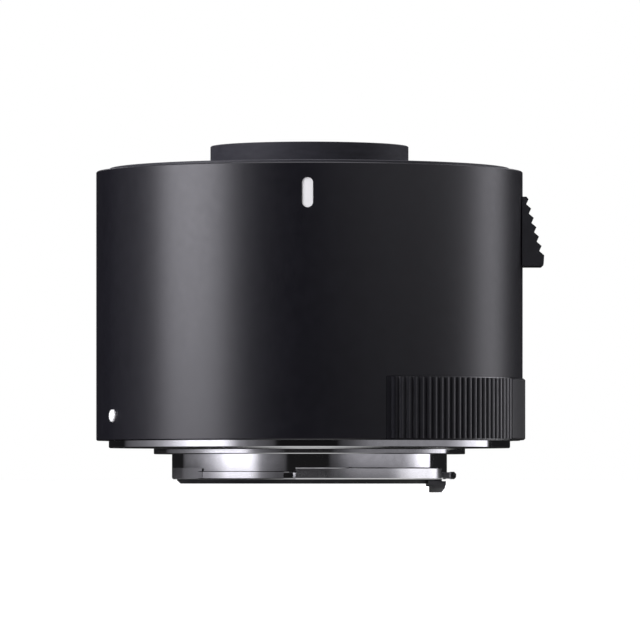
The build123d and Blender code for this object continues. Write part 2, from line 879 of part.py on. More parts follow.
# The lever slides on the barrel: a stem through the slot and a knob with teeth in steps
knob_width = 10.0
knob_height = 11.39
knob_drop = 4.76
knob_lead = 0.47
tooth_count = 7
tooth_spacing = 1.54
tooth_step = 0.43
tooth_stand = 0.82
tooth_top_drop = 0.42
tooth_root_drop = 0.84
tooth_root_inset = 0.37
knob_foot_inset = 0.1
knob_corner = 0.2
knob_lead_radius = barrel_radius + knob_lead
tooth_tip_radius = barrel_radius + tooth_stand
knob_top = flange_distance - knob_drop
knob_bottom = knob_top - knob_height
knob_inner_radius = barrel_radius + running_clearance
knob_outer_radius = tooth_tip_radius + (tooth_count - 1) * tooth_step

tooth_points = []
for place in range(tooth_count):
    tip = (tooth_tip_radius + place * tooth_step, knob_top - tooth_top_drop - place * tooth_spacing)
    tooth_points.append(tip)
    if place < tooth_count - 1:
        tooth_points.append((tip[0] - tooth_root_inset, tip[1] - tooth_root_drop))

with BuildPart() as release_lever:
    with BuildSketch(Plane.XZ):
        outline(
            [(slider_inner_radius, knob_bottom), (slider_inner_radius, knob_top)]
            + [(knob_lead_radius, knob_top)]
            + tooth_points
            + [
                (knob_outer_radius - knob_foot_inset, knob_bottom + knob_corner),
                (knob_outer_radius - knob_corner, knob_bottom),
            ]
        )
    extrude(amount=knob_width / 2, both=True)
    with BuildSketch(Plane.XY.offset(knob_bottom)):
        Circle(knob_inner_radius)
    extrude(amount=knob_top - knob_bottom, mode=Mode.SUBTRACT)
    with BuildSketch(Plane.YZ.offset(slider_inner_radius)):
        with Locations((0, (stem_bottom + stem_top) / 2)):
            Rectangle(2 * stem_half_width, stem_top - stem_bottom)
    extrude(amount=knob_lead_radius - slider_inner_radius)
    with BuildSketch(Plane.XY.offset(knob_bottom)):
        Circle(slider_outer_radius)
    extrude(amount=knob_top - knob_bottom, mode=Mode.SUBTRACT)
    for side in (-lever_screw_turn, lever_screw_turn):
        with BuildSketch(facing(quarter + side, slider_inner_radius, lever_screw_height)):
            Circle(lever_screw_radius)
        extrude(amount=lever_screw_length, mode=Mode.SUBTRACT)
finish(release_lever.part, "release_lever")

lever_screw = countersunk_screw(lever_screw_head_radius, lever_screw_radius, lever_screw_length)
with BuildPart() as lever_screws:
    with Locations(*lever_screw_places):
        add(lever_screw)
finish(lever_screws.part, "lever_screws")

# Lens tube, the black barrel that carries every lens and stands out of the lens side
tube_top = flange_distance + tube_stand
tube_bottom = -0.6
tube_body_step = 2.07
tube_step_drop = 6.0
tube_shoulder_lift = 0.2
tube_shoulder = 0.35
tube_flange_clearance = 0.1
tube_edge = 0.12
front_tube_wall = 2.43
rear_tube_wall = 2.8
cell_stop_width = 1.3
cell_stop_thickness = 2.0
front_cell_drop = 2.37
rear_cell_bottom = 0.7
name_ring_drop = 0.6
name_ring_width = 1.0
tube_body_radius = tube_radius + tube_body_step
front_cell_radius = tube_radius - front_tube_wall
rear_cell_radius = tube_body_radius - rear_tube_wall
cell_stop_radius = front_cell_radius - cell_stop_width
tube_flange_radius = chassis_bore_radius - tube_flange_clearance
tube_flange_bottom = tube_ledge_bottom - tube_flange_height
tube_step = liner_ledge_top - tube_step_drop
tube_shoulder_height = liner_floor + tube_shoulder_lift
cell_stop_bottom = tube_ledge_bottom
cell_stop_top = cell_stop_bottom + cell_stop_thickness
front_cell_top = tube_top - front_cell_drop

with BuildPart() as optical_barrel:
    turned(
        [
            (rear_cell_radius, tube_bottom),
            (tube_body_radius, tube_bottom),
            (tube_body_radius, tube_flange_bottom),
            (tube_flange_radius, tube_flange_bottom),
            (tube_flange_radius, tube_ledge_bottom),
            (tube_body_radius, tube_ledge_bottom),
            (tube_body_radius, tube_step),
            (tube_radius - tube_shoulder, tube_step),
            (tube_radius - tube_shoulder, tube_shoulder_height),
            (tube_radius, tube_shoulder_height),
            (tube_radius, tube_top - tube_edge),
            (tube_radius - tube_edge, tube_top),
            (front_cell_radius + name_ring_width, tube_top),
            (front_cell_radius + name_ring_width, tube_top - name_ring_drop),
            (front_cell_radius, tube_top - name_ring_drop),
            (front_cell_radius, cell_stop_top),
            (cell_stop_radius, cell_stop_top),
            (cell_stop_radius, cell_stop_bottom),
            (rear_cell_radius, cell_stop_bottom),
        ]
    )
    with Locations(
        *[level(turn, tube_screw_offset, tube_flange_bottom, up=False) for turn in tube_screw_bearings]
    ):
        CounterSinkHole(
            tube_screw_radius + sliding_clearance,
            tube_screw_head_radius + sliding_clearance,
            tube_flange_height,
        )
finish(optical_barrel.part, "optical_barrel")

tube_screw = countersunk_screw(tube_screw_head_radius, tube_screw_radius, tube_screw_length)
with BuildPart() as optical_barrel_screws:
    with Locations(
        *[level(turn, tube_screw_offset, tube_flange_bottom, up=False) for turn in tube_screw_bearings]
    ):
        add(tube_screw)
finish(optical_barrel_screws.part, "optical_barrel_screws")

# Contact block and liner in the well round the tube
block_inner_inset = 1.87
block_outer_inset = 0.54
block_side = 1.45
block_rim = 0.7
liner_wall = 0.6
liner_clearance = 0.1
liner_top_gap = 0.1
block_inner_offset = contact_row_offset - block_inner_inset
block_outer_radius = bayonet_radius - block_outer_inset
block_half_width = (contact_count - 1) / 2 * contact_spacing + block_side
liner_radius = chassis_bore_radius - liner_clearance
liner_bore_radius = liner_radius - liner_wall
liner_top = skirt_end - liner_top_gap


def block_outline(margin):
    """The contact block seen along the axis, grown by a margin, in the sketch that is open."""
    Circle(block_outer_radius + margin)
    with Locations((block_inner_offset - margin, 0)):
        Rectangle(
            block_outer_radius,
            2 * (block_half_width + margin),
            align=(Align.MIN, Align.CENTER),
            mode=Mode.INTERSECT,
        )


with BuildPart() as well_liner:
    turned(
        [
            (tube_radius + liner_clearance, liner_ledge_top),
            (liner_radius, liner_ledge_top),
            (liner_radius, liner_top),
            (liner_bore_radius, liner_top),
            (liner_bore_radius, liner_floor),
            (tube_radius + liner_clearance, liner_floor),
        ]
    )
    with BuildSketch(Plane.XY.offset(liner_ledge_top)):
        block_outline(sliding_clearance)
    extrude(amount=liner_floor_thickness, mode=Mode.SUBTRACT)
finish(well_liner.part, "well_liner")

pin_radius = 0.42
pin_collar_radius = 0.6
pin_collar_height = 0.55
pin_chamber_rise = 0.3
pin_guide_length = 1.15
pin_rest_stand = 0.25
pin_dome = 0.2
pin_chamber_clearance = 0.06
pin_start_gap = 0.05
contact_spring_wall = 0.22
contact_spring_clearance = 0.08
pin_chamber_top = liner_floor + pin_chamber_rise
block_rim_top = pin_chamber_top + pin_guide_length
pin_stand = contact_travel + pin_rest_stand
pin_collar_top = pin_chamber_top - pin_start_gap
pin_collar_bottom = pin_collar_top - pin_collar_height
contact_spring_radius = pin_collar_radius + pin_chamber_clearance - contact_spring_clearance

with BuildPart() as lens_contact_block:
    with BuildSketch(Plane.XY.offset(block_bottom)):
        block_outline(0)
    extrude(amount=liner_floor - block_bottom)
    with BuildSketch(Plane.XY.offset(liner_floor)):
        block_outline(block_rim)
    extrude(amount=block_rim_top - liner_floor)
    with BuildSketch(Plane.XY.offset(block_bottom)):
        with Locations(*contact_row):
            Circle(pin_collar_radius + pin_chamber_clearance)
    extrude(amount=pin_chamber_top - block_bottom, mode=Mode.SUBTRACT)
    with BuildSketch(Plane.XY.offset(pin_chamber_top)):
        with Locations(*contact_row):
            Circle(pin_radius + sliding_clearance)
    extrude(amount=block_rim_top - pin_chamber_top, mode=Mode.SUBTRACT)
finish(lens_contact_block.part, "lens_contact_block")

for place, (across, along) in enumerate(contact_row, start=1):
    with BuildPart() as contact_pin:
        with BuildSketch(Plane.XY.offset(pin_collar_bottom)):
            with Locations((across, along)):
                Circle(pin_collar_radius)
        extrude(amount=pin_collar_height)
        with BuildSketch(Plane.XY.offset(pin_collar_top)):
            with Locations((across, along)):
                Circle(pin_radius)
        extrude(amount=block_rim_top + pin_stand - pin_collar_top)
        chamfer(contact_pin.faces().sort_by(Axis.Z)[-1].edges(), pin_dome)
    finish(contact_pin.part, f"contact_pin_{place}")
    with BuildPart() as contact_spring:
        with BuildSketch(Plane.XY.offset(block_bottom)):
            with Locations((across, along)):
                Circle(contact_spring_radius)
                Circle(contact_spring_radius - contact_spring_wall, mode=Mode.SUBTRACT)
        extrude(amount=pin_collar_bottom - block_bottom)
    finish(contact_spring.part, f"contact_spring_{place}")

# Circuit board with its chips, and the two flexes that join it to the contacts
board_inner_gap = 0.7
board_bearings = (70.0, 290.0)
chip_length = 6.4
# Each row is the depth, width and height of one chip as shares of the longest chip
chip_shares = (
    (0.41, 0.72, 0.16),
    (0.34, 0.34, 0.13),
    (0.41, 1.0, 0.19),
    (0.31, 0.5, 0.14),
    (0.38, 0.38, 0.13),
)
chip_bearings = (126.0, 146.0, 172.0, 208.0, 236.0)
chip_inset = 1.9
flex_foot_length = 2.4
front_flex_wall_gap = 0.1
rear_flex_inset = 0.6
rear_flex_overhang = 1.0
board_inner_radius = waist_radius + board_inner_gap
chip_offset = board_radius - chip_inset
rear_flex_wall_radius = mount_bore_radius - rear_flex_inset
rear_flex_reach = board_inner_radius + rear_flex_overhang

with BuildPart() as circuit_board:
    sector_block(board_inner_radius, board_radius, *board_bearings, board_bottom, board_top)
    for (deep_share, wide_share, high_share), turn in zip(chip_shares, chip_bearings):
        with BuildSketch(level(turn, chip_offset, board_top)):
            Rectangle(deep_share * chip_length, wide_share * chip_length)
        extrude(amount=high_share * chip_length)
finish(circuit_board.part, "circuit_board")

front_flex_wall = waist_radius + front_flex_wall_gap
with BuildPart() as front_flex_cable:
    with BuildSketch(Plane.XY.offset(front_flex_run)):
        block_outline(0)
    extrude(amount=flex_thickness)
    front_turns = front_flex_bearings
    wall_outer = front_flex_wall + flex_thickness
    sector_block(
        block_outer_radius - flex_foot_length, wall_outer, *front_turns, front_flex_run, block_bottom
    )
    sector_block(front_flex_wall, wall_outer, *front_turns, board_top, block_bottom)
    sector_block(
        front_flex_wall,
        wall_outer + flex_foot_length,
        *front_turns,
        board_top,
        board_top + flex_thickness,
    )
finish(front_flex_cable.part, "front_flex_cable")

rear_flex_top = rear_flex_run + flex_thickness
with BuildPart() as rear_flex_cable:
    rear_turns = rear_flex_bearings
    wall_inner = rear_flex_wall_radius - flex_thickness
    sector_block(wall_inner, rear_flex_wall_radius, *rear_turns, neck_top, rear_flex_top)
    sector_block(wall_inner, rear_flex_reach, *rear_turns, rear_flex_run, rear_flex_top)
    sector_block(
        rear_flex_reach - flex_thickness, rear_flex_reach, *rear_turns, board_top, rear_flex_top
    )
finish(rear_flex_cable.part, "rear_flex_cable")

# Lenses and spacers, stacked from the front ring down to the stop and from there to the rear ring
lens_gap = 0.05
lens_clear_share = 0.9
# Each row is a name, a share of the stack, and the crowns of its two faces as shares of its radius
front_stack_shares = (
    ("lens_1", 0.12, 0.11, 0.13),
    ("lens_2", 0.16, -0.13, -0.06),
    ("spacer_ring_1", 0.24, 0, 0),
    ("lens_3", 0.12, -0.05, -0.09),
    ("lens_4", 0.20, 0.09, 0.10),
    ("lens_5", 0.16, -0.10, -0.07),
)
rear_stack_shares = (
    ("lens_6", 0.14, -0.05, 0.09),
    ("lens_7", 0.12, -0.09, 0.03),
    ("spacer_ring_2", 0.22, 0, 0),
    ("lens_8", 0.12, -0.07, -0.02),
    ("spacer_ring_3", 0.22, 0, 0),
    ("lens_9", 0.18, 0.06, 0.05),
)


def lens(rim_radius, clear_radius, top, bottom, top_crown, bottom_crown):
    """A lens whose faces rise by their crowns inside a flat seat at the rim."""
    with BuildPart() as glass:
        with BuildSketch(Plane.XZ):
            with BuildLine():
                Line((0, top + top_crown), (0, bottom - bottom_crown))
                arc_through((0, bottom - bottom_crown), (clear_radius, bottom))
                Polyline((clear_radius, bottom), (rim_radius, bottom), (rim_radius, top), (clear_radius, top))
                arc_through((0, top + top_crown), (clear_radius, top))
            make_face()
        revolve(axis=Axis.Z)
    return glass.part


def arc_through(crown, seat):
    """The arc of a lens face, level where it crosses the axis, in the line that is open."""
    TangentArc(crown, seat, tangent=(1, 0))


def stack(rows, top, bottom, cell_radius):
    """Write out the lenses and spacers of a cell from its top down."""
    outer = cell_radius - lens_gap
    clear = outer * lens_clear_share
    height = top
    for place, (name, thickness_share, top_share, bottom_share) in enumerate(rows):
        lower = height - thickness_share * (top - bottom)
        if name.startswith("spacer"):
            with BuildPart() as spacer:
                with BuildSketch(Plane.XY.offset(lower)):
                    Circle(outer)
                    Circle(clear, mode=Mode.SUBTRACT)
                extrude(amount=height - lower)
            finish(spacer.part, name)
        else:
            cemented = place + 1 < len(rows) and rows[place + 1][2] == -bottom_share
            under = lower + cement_gap if cemented and bottom_share else lower
            finish(lens(outer, clear, height, under, top_share * clear, bottom_share * clear), name)
        height = lower


stack(front_stack_shares, front_cell_top, cell_stop_top, front_cell_radius)
stack(rear_stack_shares, cell_stop_bottom, rear_cell_bottom, rear_cell_radius)

ring_slot_width = 1.0
ring_slot_depth = 0.6
for name, cell_radius, low, high in (
    ("front_retaining_ring", front_cell_radius, front_cell_top, tube_top - name_ring_drop),
    ("rear_retaining_ring", rear_cell_radius, tube_bottom, rear_cell_bottom),
):
    with BuildPart() as retaining_ring:
        with BuildSketch(Plane.XY.offset(low)):
            Circle(cell_radius - lens_gap)
            Circle((cell_radius - lens_gap) * lens_clear_share, mode=Mode.SUBTRACT)
        extrude(amount=high - low)
        outer_end = high - ring_slot_depth if low > 0 else low
        with BuildSketch(Plane.XY.offset(outer_end)):
            Rectangle(2 * cell_radius, ring_slot_width)
        extrude(amount=ring_slot_depth, mode=Mode.SUBTRACT)
    finish(retaining_ring.part, name)
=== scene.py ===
import json
import math

import bpy
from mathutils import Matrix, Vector


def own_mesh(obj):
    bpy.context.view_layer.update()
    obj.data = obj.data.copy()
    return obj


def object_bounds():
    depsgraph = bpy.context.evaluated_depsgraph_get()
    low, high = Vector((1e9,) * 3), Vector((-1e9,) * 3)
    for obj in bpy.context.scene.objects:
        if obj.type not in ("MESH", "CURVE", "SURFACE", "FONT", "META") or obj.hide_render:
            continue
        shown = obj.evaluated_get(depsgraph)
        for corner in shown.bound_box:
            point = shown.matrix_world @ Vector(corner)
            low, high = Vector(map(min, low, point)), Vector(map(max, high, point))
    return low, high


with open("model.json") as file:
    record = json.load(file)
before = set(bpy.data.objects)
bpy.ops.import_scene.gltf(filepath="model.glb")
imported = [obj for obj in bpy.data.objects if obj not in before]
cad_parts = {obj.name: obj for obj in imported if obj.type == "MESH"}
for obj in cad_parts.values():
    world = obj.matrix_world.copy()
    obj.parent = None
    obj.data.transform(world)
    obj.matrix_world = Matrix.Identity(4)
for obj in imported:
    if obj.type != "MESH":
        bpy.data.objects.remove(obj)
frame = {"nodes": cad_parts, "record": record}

cad_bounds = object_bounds()
MM = 0.001
nodes = frame["nodes"]


# Steps that add nodes to a tree. Most give back an output. Lengths are in metres.

def reckon(tree, kind, first, second=None, third=None):
    """One step of arithmetic on node outputs and numbers."""
    node = tree.nodes.new("ShaderNodeMath")
    node.operation = kind
    for place, value in enumerate((first, second, third)):
        if isinstance(value, (int, float)):
            node.inputs[place].default_value = value
        elif value is not None:
            tree.links.new(value, node.inputs[place])
    return node.outputs["Value"]


def product(tree, first, *others):
    for other in others:
        first = reckon(tree, "MULTIPLY", first, other)
    return first


def add_up(tree, total, *parts):
    """A total and each part times its weight."""
    for part, weight in parts:
        total = reckon(tree, "MULTIPLY_ADD", part, weight, total)
    return total


def above(tree, value, limit):
    return reckon(tree, "GREATER_THAN", value, limit)


def below(tree, value, limit):
    return reckon(tree, "LESS_THAN", value, limit)


def within(tree, value, low, high):
    return reckon(tree, "COMPARE", value, (low + high) / 2, (high - low) / 2)


def either(tree, first, second):
    return reckon(tree, "MAXIMUM", first, second)


# The part of a noise texture's output over which it varies
GRAIN_LOW, GRAIN_HIGH = 0.3, 0.7


def span(tree, value, low, high, start=GRAIN_LOW, end=GRAIN_HIGH, kind="LINEAR"):
    """A value that goes from low to high while the given one goes from start to end."""
    node = tree.nodes.new("ShaderNodeMapRange")
    node.interpolation_type = kind
    node.inputs["From Min"].default_value = start
    node.inputs["From Max"].default_value = end
    node.inputs["To Min"].default_value = low
    node.inputs["To Max"].default_value = high
    tree.links.new(value, node.inputs["Value"])
    return node.outputs["Result"]


def over_bearings(tree, bearing, low, high, start, end):
    """A value that goes from low to high between two bearings in degrees."""
    return span(tree, bearing, low, high, math.radians(start), math.radians(end))


def between_bearings(tree, bearing, start, end):
    return within(tree, bearing, math.radians(start), math.radians(end))


def xyz(tree, vector):
    """The three numbers of a vector."""
    node = tree.nodes.new("ShaderNodeSeparateXYZ")
    tree.links.new(vector, node.inputs["Vector"])
    return node.outputs["X"], node.outputs["Y"], node.outputs["Z"]


def own_place(tree):
    """Where a point lies in the object's own space."""
    return xyz(tree, tree.nodes.new("ShaderNodeTexCoord").outputs["Object"])


def radius_at(tree, x, y):
    return reckon(tree, "SQRT", reckon(tree, "ADD", product(tree, x, x), product(tree, y, y)))


def bearing_at(tree, x, y):
    """The bearing about the optical axis: 0 towards the viewer, a quarter turn at the right."""
    return reckon(tree, "ARCTAN2", x, product(tree, y, -1.0))


# The Z of the normal of a face that is still upright and of one that looks upwards
UPRIGHT_Z, TILTED_Z = 0.10, 0.35


def upward(tree, level, top):
    """A value that falls from level on upright faces to top on faces that look upwards."""
    _, _, up = xyz(tree, tree.nodes.new("ShaderNodeNewGeometry").outputs["Normal"])
    return span(tree, up, level, top, UPRIGHT_Z, TILTED_Z)


def vector_step(tree, kind, *vectors):
    node = tree.nodes.new("ShaderNodeVectorMath")
    node.operation = kind
    for place, vector in enumerate(vectors):
        tree.links.new(vector, node.inputs[place])
    return node.outputs["Vector"]


def choose_between(tree, factor, first, second):
    """Mix two colours, each an output or three numbers, by a factor from 0 to 1."""
    node = tree.nodes.new("ShaderNodeMix")
    node.data_type = "RGBA"
    tree.links.new(factor, node.inputs["Factor"])
    for side, value in (("A", first), ("B", second)):
        if isinstance(value, tuple):
            node.inputs[side].default_value = (*value, 1)
        else:
            tree.links.new(value, node.inputs[side])
    return node.outputs["Result"]


def layers(tree, colour, *pairs):
    """A colour with others laid over it, each as far as its factor says."""
    for factor, over in pairs:
        colour = choose_between(tree, factor, colour, over)
    return colour


def grain(tree, scale, seed, detail=4.0, stretch=(1, 1, 1)):
    """Noise in object space, with a grain 1 / scale metres long, finer where stretch is over 1."""
    place = tree.nodes.new("ShaderNodeTexCoord")
    turn = tree.nodes.new("ShaderNodeMapping")
    turn.inputs["Location"].default_value = (seed, seed * 0.37, -seed * 0.61)
    turn.inputs["Scale"].default_value = stretch
    tree.links.new(place.outputs["Object"], turn.inputs["Vector"])
    texture = tree.nodes.new("ShaderNodeTexNoise")
    texture.inputs["Detail"].default_value = detail
    texture.inputs["Scale"].default_value = scale
    tree.links.new(turn.outputs["Vector"], texture.inputs["Vector"])
    return texture.outputs["Fac"]


def tint(tree, value, dark, light):
    """A colour that varies with a grain."""
    ramp = tree.nodes.new("ShaderNodeValToRGB")
    ends = ((GRAIN_LOW, dark), (GRAIN_HIGH, light))
    for element, (place, colour) in zip(ramp.color_ramp.elements, ends):
        element.position = place
        element.color = (*colour, 1)
    tree.links.new(value, ramp.inputs["Fac"])
    return ramp.outputs["Color"]


def bump(tree, shader, value, height, normal=None):
    """Raise a grain by a height, over the object's own normal or the one given."""
    node = tree.nodes.new("ShaderNodeBump")
    node.inputs["Strength"].default_value = 1.0
    node.inputs["Distance"].default_value = height
    tree.links.new(value, node.inputs["Height"])
    if normal is not None:
        tree.links.new(normal, node.inputs["Normal"])
    tree.links.new(node.outputs["Normal"], shader.inputs["Normal"])


# Materials. The grains of the colour, the gloss and the bump each have a scale, in grains per
# metre, and an offset of their own, so that they don't coincide.

COLOUR_SCALE, COLOUR_SEED = 400.0, 1.3
GLOSS_SCALE, GLOSS_SEED = 900.0, 4.1
BUMP_SEED = 2.7


def new_material(name):
    material = bpy.data.materials.new(name)
    material.use_nodes = True
    tree = material.node_tree
    return material, tree, tree.nodes["Principled BSDF"]


def plain_finish(name, dark, light, rough, bump_scale, bump_height, metallic=0.0,
                 stretch=(1, 1, 1), specular=0.5):
    """A finish whose colour and roughness vary between two limits, with a fine bump."""
    material, tree, shader = new_material(name)
    colour = tint(tree, grain(tree, COLOUR_SCALE, COLOUR_SEED, stretch=stretch), dark, light)
    tree.links.new(colour, shader.inputs["Base Color"])
    gloss = span(tree, grain(tree, GLOSS_SCALE, GLOSS_SEED, stretch=stretch), *rough)
    tree.links.new(gloss, shader.inputs["Roughness"])
    shader.inputs["Metallic"].default_value = metallic
    shader.inputs["Specular IOR Level"].default_value = specular
    relief = grain(tree, bump_scale, BUMP_SEED, detail=3.0, stretch=stretch)
    bump(tree, shader, relief, bump_height)
    return material


# Darkest and lightest colour, roughness from and to, scale of the bump and its height
PLAIN_FINISHES = {
    "barrel_paint": dict(
        dark=(0.0038, 0.0036, 0.0063), light=(0.0056, 0.0054, 0.0085), rough=(0.32, 0.36),
        bump_scale=2500.0, bump_height=0.5e-6),
    "black_anodised": dict(
        dark=(0.0240, 0.0240, 0.0285), light=(0.0305, 0.0305, 0.0362), rough=(0.54, 0.60),
        bump_scale=9000.0, bump_height=1.0e-6, stretch=(1, 1, 4), specular=0.09),
    "ring_black": dict(
        dark=(0.0280, 0.0280, 0.0325), light=(0.0355, 0.0355, 0.0410), rough=(0.46, 0.52),
        bump_scale=8000.0, bump_height=0.8e-6, stretch=(1, 1, 3), specular=0.25),
    "cover_black": dict(
        dark=(0.0240, 0.0240, 0.0265), light=(0.0325, 0.0325, 0.0355), rough=(0.50, 0.60),
        bump_scale=7000.0, bump_height=1.5e-6, specular=0.20),
    "bright_steel": dict(
        dark=(0.42, 0.42, 0.43), light=(0.52, 0.52, 0.53), rough=(0.22, 0.32),
        bump_scale=9000.0, bump_height=0.6e-6, metallic=1.0),
    "black_plastic": dict(
        dark=(0.010, 0.010, 0.011), light=(0.015, 0.015, 0.0165), rough=(0.36, 0.46),
        bump_scale=5000.0, bump_height=2.5e-6),
    "lever_plastic": dict(
        dark=(0.029, 0.029, 0.034), light=(0.037, 0.037, 0.043), rough=(0.42, 0.50),
        bump_scale=6000.0, bump_height=2.5e-6),
    "mark_enamel": dict(
        dark=(0.93, 0.93, 0.90), light=(0.97, 0.97, 0.94), rough=(0.35, 0.45),
        bump_scale=3000.0, bump_height=1.5e-6),
    "contact_gold": dict(
        dark=(0.80, 0.56, 0.22), light=(0.90, 0.66, 0.30), rough=(0.14, 0.22),
        bump_scale=12000.0, bump_height=0.4e-6, metallic=1.0),
    "spring_steel": dict(
        dark=(0.38, 0.38, 0.39), light=(0.48, 0.48, 0.49), rough=(0.25, 0.35),
        bump_scale=14000.0, bump_height=0.6e-6, metallic=1.0),
    "chassis_casting": dict(
        dark=(0.30, 0.30, 0.31), light=(0.40, 0.40, 0.41), rough=(0.42, 0.55),
        bump_scale=2500.0, bump_height=6.0e-6, metallic=1.0),
    "board_green": dict(
        dark=(0.008, 0.06, 0.028), light=(0.012, 0.08, 0.038), rough=(0.28, 0.38),
        bump_scale=2500.0, bump_height=3.0e-6),
    "flex_amber": dict(
        dark=(0.30, 0.12, 0.02), light=(0.38, 0.17, 0.035), rough=(0.25, 0.35),
        bump_scale=2500.0, bump_height=2.0e-6),
}


def dull_bevels(material):
    """The bevels that look upwards shine at the front and turn dull towards the sides."""
    tree = material.node_tree
    specular = tree.nodes["Principled BSDF"].inputs["Specular IOR Level"]
    x, y, _ = own_place(tree)
    aside = reckon(tree, "ABSOLUTE", bearing_at(tree, x, y))
    front = over_bearings(tree, aside, 1.0, 0.08, 20, 50)
    shine = product(tree, either(tree, upward(tree, 1.0, 0.0), front), specular.default_value)
    tree.links.new(shine, specular)


# The camera-side bayonet: heights and radii in metres, bearings in degrees
SPIGOT = (-0.97 * MM, -0.02 * MM)
SPIGOT_END = -1.02 * MM
LUG_TOP = -3.25 * MM
LUG_TOP_EDGE = (-3.43 * MM, -3.19 * MM)
# Heights of the fine grooves at the guide rim, which carry painted shade
GROOVE_SHADE_HEIGHTS = ((-3.94 * MM, -3.82 * MM), (-5.04 * MM, -4.95 * MM))
CYLINDER_RADIUS = 23.4 * MM
LUG_ROOT_RADIUS = 23.5 * MM
LUG_FACE_RADIUS = 24.05 * MM
FLANGE_RIM_RADIUS = 30.0 * MM
GUIDE_RIM = (-52.3, -5.35)
LEFT_OF_GUIDE_RIM = (-112.0, -52.3)
LUG_LEFT_END = (-6.3, -5.35)
# Near black for painted shade: the right end of the front lug and the grooves at the guide rim
SHADE_BLACK = (0.06, 0.06, 0.065)


def mount_chrome():
    """Bright chrome, satin on the spigot and the lugs, with painted light and shade on the
    cylinder and the front lug and painted shade in fine grooves at the guide rim.
    """
    material, tree, shader = new_material("mount_chrome")
    x, y, z = own_place(tree)
    radius, bearing = radius_at(tree, x, y), bearing_at(tree, x, y)

    low = below(tree, z, LUG_TOP)
    cylinder = below(tree, radius, CYLINDER_RADIUS)
    lug = above(tree, radius, LUG_ROOT_RADIUS)
    guide = between_bearings(tree, bearing, *GUIDE_RIM)
    left = between_bearings(tree, bearing, *LEFT_OF_GUIDE_RIM)
    satin = product(tree, low, either(tree, left, lug), reckon(tree, "SUBTRACT", 1.0, guide))
    spigot = within(tree, z, *SPIGOT)

    # The flange and the spigot are grey, with a faint painted shade towards the spigot's root. The
    # cylinder is brighter, with painted shade that makes its left half less bright. The front lug
    # has a painted highlight, brightest between 40 and 44 degrees, painted shade beyond it and
    # near black painted shade at its right end.
    grains = grain(tree, 300.0, COLOUR_SEED)
    plate = tint(tree, grains, (0.575, 0.575, 0.585), (0.605, 0.605, 0.615))
    bright = tint(tree, grains, (0.83, 0.83, 0.845), (0.87, 0.87, 0.885))
    # Painted shade: the left half of the cylinder is darker
    left_half_painted_shade = over_bearings(tree, bearing, 1.0, 0.0, -20, -5)
    bright = choose_between(tree, left_half_painted_shade, bright, (0.73, 0.73, 0.742))
    # Painted highlight on the front lug from 22 to 44 degrees, then painted shade from 44 to 52
    # degrees
    lug_highlight_and_shade = layers(
        tree, (0.88, 0.88, 0.89),
        (over_bearings(tree, bearing, 0.0, 1.0, 22, 40), (0.98, 0.98, 0.99)),
        (over_bearings(tree, bearing, 0.0, 1.0, 44, 52), (0.78, 0.78, 0.79)))
    # Painted shade: the front lug's right end darkens towards near black from 58 to 62 degrees
    lug_end_shade = product(tree, lug, low, over_bearings(tree, bearing, 0.0, 0.6, 58, 62))
    spigot_shade = product(tree, spigot, span(tree, z, 0.0, 0.04, -0.8 * MM, -0.2 * MM))
    # Painted shade in the fine grooves along the top and bottom of the guide rim
    groove_shade = either(tree, *(within(tree, z, *heights) for heights in GROOVE_SHADE_HEIGHTS))
    colour = layers(
        tree, plate,
        (product(tree, below(tree, z, SPIGOT_END), cylinder), bright),
        (product(tree, satin, lug), lug_highlight_and_shade),
        (lug_end_shade, SHADE_BLACK),
        (spigot_shade, (0.30, 0.30, 0.31)),
        (product(tree, groove_shade, guide, cylinder), SHADE_BLACK))
    tree.links.new(colour, shader.inputs["Base Color"])

    gloss = span(tree, grain(tree, GLOSS_SCALE, GLOSS_SEED), 0.05, 0.07)
    soft = either(tree, satin, spigot)
    tree.links.new(add_up(tree, gloss, (soft, 0.03)), shader.inputs["Roughness"])

    face = above(tree, radius, LUG_FACE_RADIUS)
    # Painted highlight: on the top edge of the front lug near its left end the chrome is mostly
    # non-metallic, so its light colour shows as a bright line
    crest_highlight = product(tree, face, within(tree, z, *LUG_TOP_EDGE),
                    over_bearings(tree, bearing, 1.0, 0.0, 8, 17))
    metal = add_up(tree, 1.0, (satin, -0.092), (spigot, -0.04), (crest_highlight, -0.7))
    tree.links.new(metal, shader.inputs["Metallic"])

    # Normals lean at small rounded edges: the root of the spigot, the top of the front lug and
    # its left end. They lean a little too on the lug's face and at the right of the flange.
    root = span(tree, z, 0.0, 1.0, -0.28 * MM, -0.02 * MM)
    root = product(tree, root, root, spigot)
    low_face = product(tree, face, low)
    corner = product(tree, low_face, between_bearings(tree, bearing, *LUG_LEFT_END))
    wave = product(tree, low_face, reckon(
        tree, "SUBTRACT", over_bearings(tree, bearing, 0.0, 0.18, 18, 33),
        over_bearings(tree, bearing, 0.0, 0.18, 38, 54)))
    flange = product(tree, above(tree, radius, FLANGE_RIM_RADIUS),
                     over_bearings(tree, bearing, 0.0, 0.021, 48, 58))
    lean = tree.nodes.new("ShaderNodeCombineXYZ")
    for axis, amount in (
            ("X", add_up(tree, 0.0, (wave, 0.82), (corner, -0.45), (flange, -0.5))),
            ("Y", add_up(tree, 0.0, (wave, 0.57), (flange, -0.87))),
            ("Z", add_up(tree, crest_highlight, (root, -1.2)))):
        tree.links.new(amount, lean.inputs[axis])
    normal = tree.nodes.new("ShaderNodeNewGeometry").outputs["Normal"]
    leaned = vector_step(tree, "ADD", normal, lean.outputs["Vector"])
    bump(tree, shader, grain(tree, 900.0, BUMP_SEED, detail=3.0), 6.0e-8,
         vector_step(tree, "NORMALIZE", leaned))
    return material


# Radii of the stop pin's light collar
COLLAR = (23.60 * MM, 23.93 * MM)


